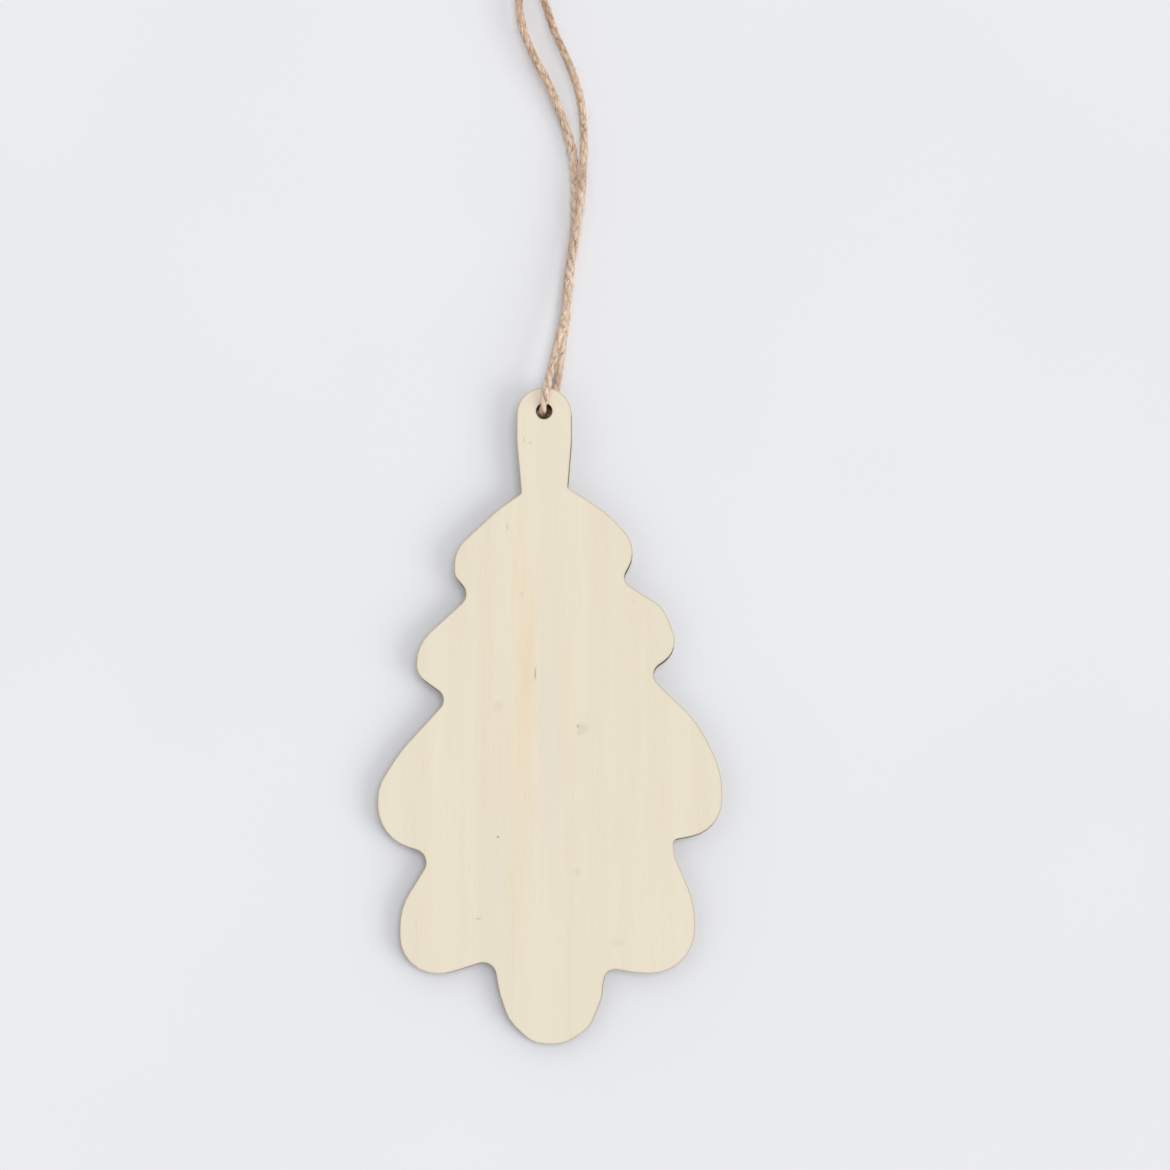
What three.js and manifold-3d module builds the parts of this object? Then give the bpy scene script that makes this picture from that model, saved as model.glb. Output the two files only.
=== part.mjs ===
// A wooden gift tag: a flat oak leaf cut by laser from three-layer plywood, on a loop of jute twine.
// It lies on its back on a table. Millimetres, +Z up, +X to the right, +Y from the leaf's tip to its stem.
import * as THREE from 'three';
import { mergeVertices } from 'three/addons/utils/BufferGeometryUtils.js';
import Module from 'manifold-3d';

const wasm = await Module();
wasm.setup();

// Driving dimensions of the board
const FACE_PLY = 0.9;             // thickness of the front and of the back veneer
const CORE_PLY = 1.0;             // thickness of the cross-laid veneer between them
const GLUE_FILM = 0.1;            // thickness of each glue line

// Driving dimensions of the leaf
const BLADE_WIDTH = 62.6;         // widest part, across the third pair of lobes
const BLADE_LENGTH = 101.1;       // tip to the right shoulder, where the stem begins
const STEM_LENGTH = 18.9;         // right shoulder to the stem's round top
const STEM_TOP_WIDTH = 10.1;      // across the round top
const STEM_STRAIGHT = 10;        // down from the top edge, before the stem narrows to the shoulders
const STEM_SIDE_RADIUS = 12;      // soft bend where it starts to narrow
const STEM_TOP_X = -1.15;         // middle of the round top, left of the blade's middle
const HOLE_DIAMETER = 3.0;
const HOLE_FROM_TOP = 4.45;       // stem's top edge to the middle of the hole

// Driving dimensions of the twine
const TWINE_DIAMETER = 1.5;
const TWINE_CLEARANCE = 0.3;      // room that the stem's back leaves over the strand under it
const END_GAP = 0.3;              // twine's ends to the knot

// Driving dimensions of the knot
const KNOT_CORE_RADIUS = 2.2;
const KNOT_CORE_LENGTH = 6;
const KNOT_TURNS = 1.7;           // turns of the doubled twine round the knot's core
const KNOT_PITCH = 2.8;           // rise of the doubled twine in one turn
const KNOT_NECK = 1.5;            // straight twine that shows between the end gap and the core

// Smoothness of round stretches
const ARC_STEP = THREE.MathUtils.degToRad(15);
const ARC_SIDE = 2;               // longest side on a rounded corner
const ARC_CHORD_LIMIT = 5;        // a side of the outline that is longer than this isn't part of an arc
const HOLE_SEGMENTS = 32;
const TWINE_SIDES = 8;
const RINGS_PER_SPAN = 2;         // rings of the twine's tube from one chosen point to the next
const KNOT_SEGMENTS = 20;         // steps round the knot's core, and in a turn of the twine round it

// Sizes and places that follow from the ones above
const TOP_Y = (BLADE_LENGTH + STEM_LENGTH) / 2;
const TIP_Y = -TOP_Y;
const HOLE_X = STEM_TOP_X;
const HOLE_Y = TOP_Y - HOLE_FROM_TOP;
const STRAND_Y = HOLE_Y + HOLE_DIAMETER / 2;
const STEM_LIFT = TWINE_DIAMETER + TWINE_CLEARANCE;

// The blade's outline as corners, x and y from the leaf's middle, with the radius that rounds each.
// It runs clockwise from the right shoulder round the tip to the left shoulder.
const BLADE_CORNERS = [
  // right shoulder, first lobe, notch
  [3.2, 41, 0.6], [10.8, 36.1, 20], [15.1, 31, 4.9], [15.1, 27.5, 5], [13, 23.7, 2],
  // second lobe, notch
  [20.8, 18.6, 5.5], [22.8, 13.3, 3.7], [22.8, 10.2, 4.6], [17.6, 6.6, 2.3],
  // third lobe, notch
  [26.7, -2.2, 20], [31.3, -11.2, 16.4], [31.2, -22, 6.8], [22.3, -23.7, 0.9], [22.6, -26.7, 3],
  // fourth lobe, notch
  [26.2, -35.2, 16], [26.2, -47.6, 8], [16.3, -47.6, 12], [10.2, -46.6, 2],
  // end lobe, notch
  [9.6, -49.6, 3], [9.4, -51.9, 4], [7.3, -57.1, 5], [2.8, -60.1, 6],
  [-2.9, -60.1, 5.4], [-7.4, -55.8, 6.7], [-9, -50.95, 8], [-10.1, -44.95, 2.35],
  // fourth lobe on the left, notch
  [-18.7, -47.7, 10], [-27, -47.5, 7], [-27, -35.9, 11], [-21.1, -26.4, 2.4],
  // third lobe on the left, notch
  [-31.2, -23.2, 8], [-31.3, -13.9, 8.5], [-26.9, -7.2, 20], [-18.4, 2.1, 2.1],
  // second lobe on the left, notch
  [-24.4, 6.4, 3.6], [-24.5, 11.9, 7.6], [-14.5, 21.1, 2.4],
  // first lobe on the left, left shoulder
  [-17.6, 24.7, 2.4], [-17.6, 29.5, 6], [-9.6, 37, 20], [-5.3, 40, 0.6],
];

// The twine from the knot down the front strand, through the hole, and up the back strand to the knot
const TWINE_ROUTE = [
  // front strand, clear of the table from the knot on
  [-4.35, 151.7, 3], [-4.3, 148.7, 3.05], [-3.83, 144.2, 3.1], [-1.52, 136.3, 3.1],
  [0.48, 129.8, 3.1], [3.22, 123.5, 3.1], [5.27, 117.1, 3.1], [6.11, 109.7, 3.1],
  // front strand crosses over the back strand in a low arch and comes down on the stem
  [6.01, 103.2, 3.15], [5.61, 96.8, 3.3], [4.66, 89.5, 3.6], [3.75, 83.9, 4], [3.25, 78.4, 4.5],
  [2.4, 72.8, 5.1], [1.1, 67.4, 5.6], [-0.2, 62.2, 5.85], [-0.6, 60, 5.85],
  // bend through the hole
  [-1, 57.6, 5.8], [-1.28, 56.4, 5.45], [-1.5, 55.45, 4.54], [-1.57, 55.12, 3.26],
  [-1.43, 55.4, 2.05], [-0.98, 56.24, 1.14], [-0.3, 57.34, 0.8],
  // back strand, under the stem and on the table
  [0.75, 60.2, 0.8], [1.35, 63.4, 0.8], [2.05, 68.5, 0.8], [2.65, 73.9, 0.8], [3.15, 82.1, 0.8],
  // back strand rises to the knot
  [4.2, 90.3, 0.9], [4.55, 97.4, 1.15], [4.3, 103.8, 1.5], [3.65, 107.9, 1.65], [2.6, 111.3, 1.75],
  [-0.29, 118.9, 2.3], [-3.43, 125, 2.7], [-5.56, 130.6, 2.95], [-6.31, 136.5, 3.05],
  [-6.08, 144.2, 3.1], [-6, 148.7, 3.05], [-5.95, 151.7, 3],
];

// The twine's two cut tails, from the middle of the knot's far end
const LEFT_TAIL = [[-0.8, -2, 0], [-0.8, 1, -0.05], [-1.9, 4.6, -1.1], [-3.6, 8.8, -2.2], [-4.6, 12, -2.2]];
const RIGHT_TAIL = [[0.8, -2, 0], [0.8, 1, -0.1], [1.7, 4.6, -1.5], [2.2, 8, -2.2], [3.6, 11.2, -2.2]];

// Materials
const veneerWood = new THREE.MeshStandardMaterial({ color: 0xeae0cb, roughness: 0.75, metalness: 0 });
const coreWood = new THREE.MeshStandardMaterial({ color: 0x9a7a55, roughness: 0.85, metalness: 0 });
const charredGlue = new THREE.MeshStandardMaterial({ color: 0x3b2a1d, roughness: 0.6, metalness: 0 });
const jute = new THREE.MeshStandardMaterial({ color: 0xc6a88c, roughness: 0.95, metalness: 0 });

// The drawn blade stretched to the blade's own width and length
function bladeCorners() {
  const xs = BLADE_CORNERS.map(([x]) => x);
  const ys = BLADE_CORNERS.map(([, y]) => y);
  const middle = (Math.min(...xs) + Math.max(...xs)) / 2;
  const widen = BLADE_WIDTH / (Math.max(...xs) - Math.min(...xs));
  const lengthen = BLADE_LENGTH / (Math.max(...ys) - Math.min(...ys));
  return BLADE_CORNERS.map(([x, y, radius]) => ({
    point: new THREE.Vector2((x - middle) * widen, TIP_Y + (y - Math.min(...ys)) * lengthen),
    radius,
  }));
}

// The stem's corners, up its left side, over the round top and down its right side
function stemCorners() {
  const half = STEM_TOP_WIDTH / 2;
  const corner = (side, drop, radius) => ({
    point: new THREE.Vector2(STEM_TOP_X + side * half, TOP_Y - drop),
    radius,
  });
  return [
    corner(-1, STEM_STRAIGHT, STEM_SIDE_RADIUS), corner(-1, 0, half),
    corner(1, 0, half), corner(1, STEM_STRAIGHT, STEM_SIDE_RADIUS),
  ];
}

// Points along a closed outline of rounded corners. Where two roundings would run into each other
// on a short side, both are held back.
function roundedOutline(corners) {
  const next = (i) => (i + 1) % corners.length;
  const last = (i) => (i + corners.length - 1) % corners.length;
  const turns = corners.map(({ point, radius }, i) => {
    const arriving = point.clone().sub(corners[last(i)].point).normalize();
    const leaving = corners[next(i)].point.clone().sub(point).normalize();
    const angle = Math.atan2(arriving.cross(leaving), arriving.dot(leaving));
    return { arriving, angle, reach: radius * Math.tan(Math.abs(angle) / 2) };
  });
  const room = corners.map(({ point }, i) => (
    point.distanceTo(corners[next(i)].point) / (turns[i].reach + turns[next(i)].reach)
  ));
  return corners.flatMap(({ point, radius }, i) => {
    const { arriving, angle, reach } = turns[i];
    const share = Math.min(1, 0.99 * room[i], 0.99 * room[last(i)]);
    const start = point.clone().addScaledVector(arriving, -reach * share);
    const towardsCentre = new THREE.Vector2(-arriving.y, arriving.x).multiplyScalar(Math.sign(angle));
    const centre = start.clone().addScaledVector(towardsCentre, radius * share);
    const steps = Math.ceil(Math.abs(angle) * Math.max(1 / ARC_STEP, (radius * share) / ARC_SIDE));
    const turned = (k) => start.clone().rotateAround(centre, (angle * k) / steps);
    return Array.from({ length: steps + 1 }, (_, k) => turned(k));
  });
}

// The whole leaf with its hole, as one flat shape that every layer shares
function leafShape() {
  const shape = new THREE.Shape(roundedOutline([...bladeCorners(), ...stemCorners()]));
  const hole = Array.from({ length: HOLE_SEGMENTS }, (_, k) => {
    const angle = (2 * Math.PI * k) / HOLE_SEGMENTS;
    return new THREE.Vector2(HOLE_DIAMETER / 2, 0).rotateAround(new THREE.Vector2(), angle);
  });
  shape.holes.push(new THREE.Path(hole.map((point) => point.add(new THREE.Vector2(HOLE_X, HOLE_Y)))));
  return shape;
}

// The two points of the outline that rest on the table. Held up at the stem, the leaf stands on its tip
// and leans to the left until the fourth lobe there touches too. The points are the ends of the first
// long side of the outline's convex hull, followed from the lowest point to the left.
function restingPoints(outline) {
  let tip = outline.reduce((lowest, point) => (point.y < lowest.y ? point : lowest));
  for (;;) {
    const slope = ({ x, y }) => (y - tip.y) / (tip.x - x);
    const lobe = outline
      .filter(({ x }) => x < tip.x)
      .reduce((flattest, point) => (slope(point) < slope(flattest) ? point : flattest));
    if (lobe.distanceTo(tip) > ARC_CHORD_LIMIT) return [tip, lobe];
    tip = lobe;
  }
}

// The leaf in its five layers, back to front. The tip and a lobe rest on the table, and the stem is
// raised so that the twine's back strand runs under it.
function leaf() {
  const layers = [
    ['back_veneer', FACE_PLY, veneerWood],
    ['back_glue_line', GLUE_FILM, charredGlue],
    ['core_veneer', CORE_PLY, coreWood],
    ['front_glue_line', GLUE_FILM, charredGlue],
    ['front_veneer', FACE_PLY, veneerWood],
  ];
  const shape = leafShape();
  const [tip, lobe] = restingPoints(shape.getPoints());
  const group = new THREE.Group();
  let height = 0;
  for (const [name, thickness, material] of layers) {
    const geometry = new THREE.ExtrudeGeometry(shape, { depth: thickness, bevelEnabled: false });
    geometry.translate(-tip.x, -tip.y, height);
    const mesh = new THREE.Mesh(geometry, material);
    mesh.name = name;
    group.add(mesh);
    height += thickness;
  }
  const edge = tip.clone().sub(lobe).normalize();
  const reach = edge.cross(new THREE.Vector2(HOLE_X, STRAND_Y).sub(tip));
  group.position.set(tip.x, tip.y, 0);
  group.quaternion.setFromAxisAngle(new THREE.Vector3(edge.x, edge.y, 0), Math.atan(STEM_LIFT / reach));
  return group;
}

// A route whose rings follow its chosen points, so that the tight bend in the hole has more of them
class TwineRoute extends THREE.CatmullRomCurve3 {
  getUtoTmapping(u) {
    return u;
  }
}

function twineTube(points, ringsPerSpan = RINGS_PER_SPAN) {
  const section = Array.from({ length: TWINE_SIDES }, (_, k) => {
    const angle = (2 * Math.PI * (k + 0.5)) / TWINE_SIDES;
    return new THREE.Vector2(Math.cos(angle), Math.sin(angle)).multiplyScalar(TWINE_DIAMETER / 2);
  });
  const route = new TwineRoute(points.map((point) => new THREE.Vector3(...point)), false, 'centripetal');
  const steps = (points.length - 1) * ringsPerSpan;
  return new THREE.ExtrudeGeometry(new THREE.Shape(section), { steps, extrudePath: route });
}

function twineLoop() {
  const mesh = new THREE.Mesh(twineTube(TWINE_ROUTE), jute);
  mesh.name = 'twine_loop';
  return mesh;
}

// A closed surface as a solid that can be joined to others
function toSolid(geometry) {
  const bare = new THREE.BufferGeometry();
  bare.setAttribute('position', geometry.getAttribute('position'));
  bare.setIndex(geometry.getIndex());
  const merged = mergeVertices(bare, 1e-4);
  const index = Array.from(merged.getIndex().array);
  const triangles = [];
  for (let i = 0; i < index.length; i += 3) {
    const [a, b, c] = index.slice(i, i + 3);
    if (a !== b && b !== c && c !== a) triangles.push(a, b, c);
  }
  return new wasm.Manifold(new wasm.Mesh({
    numProp: 3,
    vertProperties: new Float32Array(merged.getAttribute('position').array),
    triVerts: new Uint32Array(triangles),
  }));
}

function fromSolid(solid) {
  const { vertProperties, triVerts } = solid.getMesh();
  const geometry = new THREE.BufferGeometry();
  geometry.setAttribute('position', new THREE.BufferAttribute(vertProperties, 3));
  geometry.setIndex(new THREE.BufferAttribute(triVerts, 1));
  geometry.computeVertexNormals();
  return geometry;
}

// The knot's core, a spindle along Y that fills the middle of the turns
function knotCore() {
  const half = KNOT_CORE_LENGTH / 2;
  const profile = [[0, -1], [0.5, -1], [0.85, -0.8], [1, -0.5], [1, 0.5], [0.85, 0.8], [0.5, 1], [0, 1]];
  const points = profile.map(([radius, y]) => new THREE.Vector2(radius * KNOT_CORE_RADIUS, y * half));
  return new THREE.LatheGeometry(points, KNOT_SEGMENTS);
}

// One of the two strands that turn round the core side by side, and go into it at both ends
function knotTurns(strand) {
  const steps = Math.round(KNOT_TURNS * KNOT_SEGMENTS);
  const points = Array.from({ length: steps + 1 }, (_, k) => {
    const along = k / steps;
    const angle = 2 * Math.PI * KNOT_TURNS * along;
    const rise = Math.min(1, 0.3 + 5 * Math.min(along, 1 - along));
    const radius = KNOT_CORE_RADIUS * rise;
    const y = KNOT_PITCH * (KNOT_TURNS * (along - 0.5) + strand / 4);
    return [radius * Math.cos(angle), y, -radius * Math.sin(angle)];
  });
  return twineTube(points, 1);
}

// The overhand knot in the doubled twine, with a neck for each strand of the loop and two cut tails
function twineKnot() {
  const [frontX, endY, endZ] = TWINE_ROUTE[0];
  const [backX] = TWINE_ROUTE.at(-1);
  const middleX = (frontX + backX) / 2;
  const neckY = -KNOT_CORE_LENGTH / 2 - KNOT_NECK;
  const necks = [frontX, backX].map((x) => twineTube([[x - middleX, neckY, 0], [x - middleX, 0, 0]]));
  const tails = [LEFT_TAIL, RIGHT_TAIL].map((tail) => (
    twineTube(tail.map(([x, y, z]) => [x, y + KNOT_CORE_LENGTH / 2, z]))
  ));
  const pieces = [...necks, knotTurns(-1), knotTurns(1), ...tails].map(toSolid);
  const knot = pieces.reduce((joined, piece) => joined.add(piece), toSolid(knotCore()));
  const mesh = new THREE.Mesh(fromSolid(knot), jute);
  mesh.name = 'twine_knot';
  mesh.position.set(middleX, endY + END_GAP - neckY, endZ);
  return mesh;
}

const tag = new THREE.Group();
tag.name = 'leaf_tag';
tag.add(leaf(), twineLoop(), twineKnot());

export default tag;
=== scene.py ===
# %% [markdown]
# # A wooden leaf tag on a loop of jute twine
# The real object is a blank gift tag: a flat oak leaf, cut by laser from three-layer plywood, with a
# round hole in its stem and a knotted loop of jute twine through the hole. It lies on a white table
# and is seen from almost straight above.
#
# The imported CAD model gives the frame: every piece made here sits in the place of a CAD node and
# moves with one of its two bodies, `leaf` and `loop`.

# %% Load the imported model
import math
import random

import bmesh
import bpy
import numpy as np
from mathutils import Matrix, Vector, noise


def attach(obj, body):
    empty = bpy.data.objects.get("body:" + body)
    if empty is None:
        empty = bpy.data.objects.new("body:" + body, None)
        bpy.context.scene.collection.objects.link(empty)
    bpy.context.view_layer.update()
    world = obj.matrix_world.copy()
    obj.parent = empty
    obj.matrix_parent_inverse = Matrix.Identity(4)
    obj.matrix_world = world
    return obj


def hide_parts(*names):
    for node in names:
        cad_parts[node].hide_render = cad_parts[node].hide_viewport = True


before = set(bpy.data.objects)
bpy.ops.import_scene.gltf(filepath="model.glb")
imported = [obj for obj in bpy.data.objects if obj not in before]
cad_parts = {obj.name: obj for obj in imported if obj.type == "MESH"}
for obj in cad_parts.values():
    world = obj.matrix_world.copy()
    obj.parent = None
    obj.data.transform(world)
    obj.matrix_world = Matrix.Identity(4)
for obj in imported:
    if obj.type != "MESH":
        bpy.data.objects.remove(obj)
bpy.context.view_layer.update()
MM = 0.001


# %% [markdown]
# ## Camera
# The photograph is taken by hand from almost straight above. The leaf's burnt wall shows as thin dark
# slivers where its notches face down and right, and hardly at all beside the stem, so the lens hangs
# below the leaf's middle and a little to its right. The picture's top edge runs up the table's +Y, so
# the camera is turned by its own three axes and not by a tracking constraint, which would roll it.

# %% Place the camera
CAMERA_PLACE = Vector((12.5, -53.2, 483.5)) * MM
CAMERA_AIM = Vector((6.36, 23.06, 3.5)) * MM
CAMERA_LENS_MM = 81.4
SENSOR_MM = 36
CLIP_NEAR = 10 * MM  # nothing nearer to the lens is drawn

ahead = (CAMERA_AIM - CAMERA_PLACE).normalized()
right = ahead.cross(Vector((0, 1, 0))).normalized()
turned = Matrix((right, right.cross(ahead), -ahead)).transposed().to_4x4()

bpy.ops.object.camera_add()
camera = bpy.context.object
camera.name = "camera"
camera.matrix_world = Matrix.Translation(CAMERA_PLACE) @ turned
camera.data.sensor_width = SENSOR_MM
camera.data.lens = CAMERA_LENS_MM
camera.data.clip_start = CLIP_NEAR
bpy.context.scene.camera = camera
print("camera off the vertical in degrees:", round(math.degrees(ahead.angle(Vector((0, 0, -1)))), 1))


# %% [markdown]
# ## The twine's route
# The twine is one length of cord. It starts at a cut tail, goes through the knot and down the front
# strand, in at the hole, under the stem and up the back strand, and through the knot to the other
# tail. A curve through a few dozen chosen points gives its centreline. They are the points of the CAD
# source, in metres. The photograph's shadows tell how high it lies: wide and faint beside a stretch
# that is held up, narrow and dark beside one on the table. A centripetal Catmull-Rom curve is used
# because it passes through every point and doesn't overshoot in the tight bend at the hole.

# %% Choose the points of the route
LOOP_POINTS = [
    # front strand, clear of the table from the knot on
    (-0.00435, 0.1517, 0.003), (-0.0043, 0.1487, 0.00305), (-0.00383, 0.1442, 0.0031),
    (-0.00152, 0.1363, 0.0031), (0.00048, 0.1298, 0.0031), (0.00322, 0.1235, 0.0031),
    (0.00527, 0.1171, 0.0031), (0.00611, 0.1097, 0.0031),
    # front strand crosses over the back strand in a low arch and comes down on the stem
    (0.00601, 0.1032, 0.00315), (0.00561, 0.0968, 0.0033), (0.00466, 0.0895, 0.0036),
    (0.00375, 0.0839, 0.004), (0.00325, 0.0784, 0.0045), (0.0024, 0.0728, 0.0051),
    (0.0011, 0.0674, 0.0056), (-0.0002, 0.0622, 0.00585), (-0.0006, 0.06, 0.00585),
    # bend through the hole
    (-0.001, 0.0576, 0.0058), (-0.00128, 0.0564, 0.00545), (-0.0015, 0.05545, 0.00454),
    (-0.00157, 0.05512, 0.00326), (-0.00143, 0.0554, 0.00205), (-0.00098, 0.05624, 0.00114),
    (-0.0003, 0.05734, 0.0008),
    # back strand, under the stem and on the table
    (0.00075, 0.0602, 0.0008), (0.00135, 0.0634, 0.0008), (0.00205, 0.0685, 0.0008),
    (0.00265, 0.0739, 0.0008), (0.00315, 0.0821, 0.0008),
    # back strand rises to the knot
    (0.0042, 0.0903, 0.0009), (0.00455, 0.0974, 0.00115), (0.0043, 0.1038, 0.0015),
    (0.00365, 0.1079, 0.00165), (0.0026, 0.1113, 0.00175), (-0.00029, 0.1189, 0.0023),
    (-0.00343, 0.125, 0.0027), (-0.00556, 0.1306, 0.00295), (-0.00631, 0.1365, 0.00305),
    (-0.00608, 0.1442, 0.0031), (-0.006, 0.1487, 0.00305), (-0.00595, 0.1517, 0.003),
]

# from the loop's ends through the knot to the cut ends, a little short of the CAD's to leave room for
# their frayed fibres
FRONT_TAIL = [
    (-0.00435, 0.1575, 0.003), (-0.00435, 0.1605, 0.0029), (-0.00345, 0.1641, 0.0015),
    (-0.00295, 0.1675, 0.0008), (-0.00195, 0.1695, 0.0008),
]
BACK_TAIL = [
    (-0.00595, 0.1575, 0.003), (-0.00595, 0.1605, 0.00295), (-0.00705, 0.1641, 0.0019),
    (-0.00875, 0.1683, 0.0008), (-0.00925, 0.17, 0.0008),
]
WHOLE_TWINE = [*reversed(FRONT_TAIL), *LOOP_POINTS, *BACK_TAIL]


# %% Draw a smooth centreline through the points
STEPS_PER_SPAN = 24
RING_STEP = 0.25 * MM


def smooth_route(points):
    """Closely spaced points on a centripetal Catmull-Rom curve through the given ones."""
    points = [Vector(point) for point in points]
    padded = [2 * points[0] - points[1], *points, 2 * points[-1] - points[-2]]
    dense = []
    for before, start, end, after in zip(padded, padded[1:], padded[2:], padded[3:]):
        spans = ((before, start), (start, end), (end, after))
        gap0, gap1, gap2 = (math.sqrt((b - a).length) for a, b in spans)
        leave = (start - before) / gap0 - (end - before) / (gap0 + gap1) + (end - start) / gap1
        arrive = (end - start) / gap1 - (after - start) / (gap1 + gap2) + (after - end) / gap2
        for k in range(STEPS_PER_SPAN):
            t = k / STEPS_PER_SPAN
            square, cube = t * t, t * t * t
            dense.append(
                (2 * cube - 3 * square + 1) * start
                + (cube - 2 * square + t) * gap1 * leave
                + (3 * square - 2 * cube) * end
                + (cube - square) * gap1 * arrive
            )
    dense.append(points[-1])
    return np.array(dense)


def evenly(points, step):
    """The same line with its points the same distance apart, and how far along it each one is."""
    run = np.concatenate([[0], np.cumsum(np.linalg.norm(np.diff(points, axis=0), axis=1))])
    along = np.linspace(0, run[-1], round(run[-1] / step) + 1)
    return np.stack([np.interp(along, run, points[:, axis]) for axis in range(3)], 1), along


twine_line, twine_along = evenly(smooth_route(WHOLE_TWINE), RING_STEP)
loop_first, loop_last = (
    int(np.argmin(np.linalg.norm(twine_line - np.array(LOOP_POINTS[end]), axis=1))) for end in (0, -1)
)
loop_slice = slice(loop_first, loop_last + 1)
loop_line, loop_along = twine_line[loop_slice], twine_along[loop_slice]


# %% [markdown]
# ## Two yarns twisted into a twine
# Thin jute twine is two yarns laid round each other, one turn in about 5 mm here, so a groove crosses
# it every 2.5 mm. Seen from any side the grooves run like the middle of a letter S. Each yarn is a
# loose bundle of coarse fibres, which lie almost along the twine. A bevelled curve would give a smooth
# hose, so each yarn is a mesh tube whose rings are worked out from the centreline: the ring's middle
# circles round the twine, and noise that is stretched along the fibres gives it ridges.
#
# The real twine is uneven. Its yarns open and close and their turn runs ahead or falls behind, so the
# middles of the rings get slow noise too.

# %% Find the directions square to a line
def sideways_along(points):
    """The direction of the line at every point and two directions square to it, carried along the line
    without twisting."""
    ahead = np.gradient(points, axis=0)
    ahead /= np.linalg.norm(ahead, axis=1)[:, None]
    side = np.cross([0.0, 0.0, 1.0], ahead[0])
    if np.linalg.norm(side) < 0.1:  # the line starts upright
        side = np.array([1.0, 0.0, 0.0])
    sides = []
    for direction in ahead:
        side = side - direction * side.dot(direction)
        side /= np.linalg.norm(side)
        sides.append(side)
    sides = np.array(sides)
    return ahead, sides, np.cross(ahead, sides)


# %% Lead a yarn round the twine
YARN_OFFSET = 0.19 * MM  # yarn's middle from the twine's middle, small because the yarns are soft
OPENING = 0.8  # how much that offset changes along the twine, as a share
OPENING_LENGTH = 6 * MM  # length of the open and the closed stretches
OPENING_SEED = 5.5
YARN_LAY = 5.1 * MM  # length of one turn of the two yarns
WANDER = 1.9  # how far the turn runs ahead or behind, in radians
WANDER_LENGTH = 7 * MM  # length of the stretches in which it does


def yarn_middles(twine, yarn, points, along):
    """Where the middle of one of the two yarns runs."""
    _, across, over = sideways_along(points)
    drift = np.array([noise.noise(Vector((twine, 0, s / WANDER_LENGTH))) for s in along])
    turn = -2 * math.pi * along / YARN_LAY + math.pi * yarn + WANDER * drift
    loose = np.array([noise.noise(Vector((twine, OPENING_SEED, s / OPENING_LENGTH))) for s in along])
    offset = YARN_OFFSET * (1 + OPENING * loose)
    return points + offset[:, None] * (np.cos(turn)[:, None] * across + np.sin(turn)[:, None] * over)


# %% [markdown]
# A yarn is thick in some places and thin in others. The back strand of the real loop is thicker than
# the front one, and the hole squeezes the twine thin. An end that stays open to view is rounded off.
# The ends where the loop runs on into the knot aren't, or the twine would look pinched there.

# %% Give a yarn its thickness
YARN_RADIUS = 0.53 * MM
SLUB = 0.24  # how much thicker or thinner a yarn gets, as a share
SLUB_LENGTH = 6 * MM  # length of its thick and thin places
YARN_SEED, TWINE_SEED = 7.3, 3.1  # steps in the noise, so that no two yarns are alike
FRONT_STRAND = 99 * MM  # length of the twine from the knot down to the hole
HOLE_ALONG = float(twine_along[loop_first]) + FRONT_STRAND
FROM_HOLE = (-6 * MM, -2 * MM, 0.5 * MM, 4 * MM)  # places along the twine, from the middle of the hole
STRAND_THICKNESS = (1.02, 0.88, 0.88, 1.17)  # front strand, both ends of the squeeze, back strand
CAP_TAPER = 0.5 * MM  # length over which an end rounds off
CAP_RADIUS, CAP_GAIN = 0.55, 0.45  # share of the radius at the very end, and what it gains from there


def yarn_radii(twine, yarn, along, round_start, round_end):
    """A yarn's radius at every ring."""
    rounding = np.ones(len(along))
    for rounded, distance in ((round_start, along - along[0]), (round_end, along[-1] - along)):
        if rounded:
            rounding *= np.sqrt(np.clip(distance / CAP_TAPER, 0, 1)) * CAP_GAIN + CAP_RADIUS
    row = yarn * YARN_SEED + twine * TWINE_SEED
    slubs = np.array([noise.noise(Vector((row, 0.0, s / SLUB_LENGTH))) for s in along])
    squeeze = np.interp(along - HOLE_ALONG, FROM_HOLE, STRAND_THICKNESS)
    return YARN_RADIUS * (1 + SLUB * slubs) * rounding * squeeze


# %% [markdown]
# The fibres wind round their yarn the other way, so that they end up almost along the twine. Noise
# that follows them raises coarse ridges and finer strands between these. It is sampled on a circle
# that turns with the fibres, so that it has no seam, and the same places are stored for the finish.

# %% Raise the fibres on a yarn
FIBRE_LAY = 9.0 * MM  # length of one turn of the fibres on a yarn
FIBRE_LENGTH = 5 * MM  # length over which a ridge comes and goes
FIBRE_SEED = 9
RIDGE = 0.12  # height of the ridges, as a share of the yarn's radius
RIDGE_SCALE, STRAND_SCALE = 2.2, 5.0  # how fine the ridges and the strands are round a yarn
STRAND_SHARE = 0.7  # height of a strand beside that of a ridge


def among_fibres(angle, distance, yarn):
    """A corner's place among the fibres of its yarn, and its radius there as a share of the yarn's."""
    fibre = angle - 2 * math.pi * distance / FIBRE_LAY
    x, y, z = math.cos(fibre), math.sin(fibre), distance / FIBRE_LENGTH + FIBRE_SEED * yarn
    ridges = noise.noise(Vector((x * RIDGE_SCALE, y * RIDGE_SCALE, z)))
    strands = noise.noise(Vector((x * STRAND_SCALE, y * STRAND_SCALE, z * 2)))
    return (x, y, z), 1 + RIDGE * (ridges + STRAND_SHARE * strands)
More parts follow.
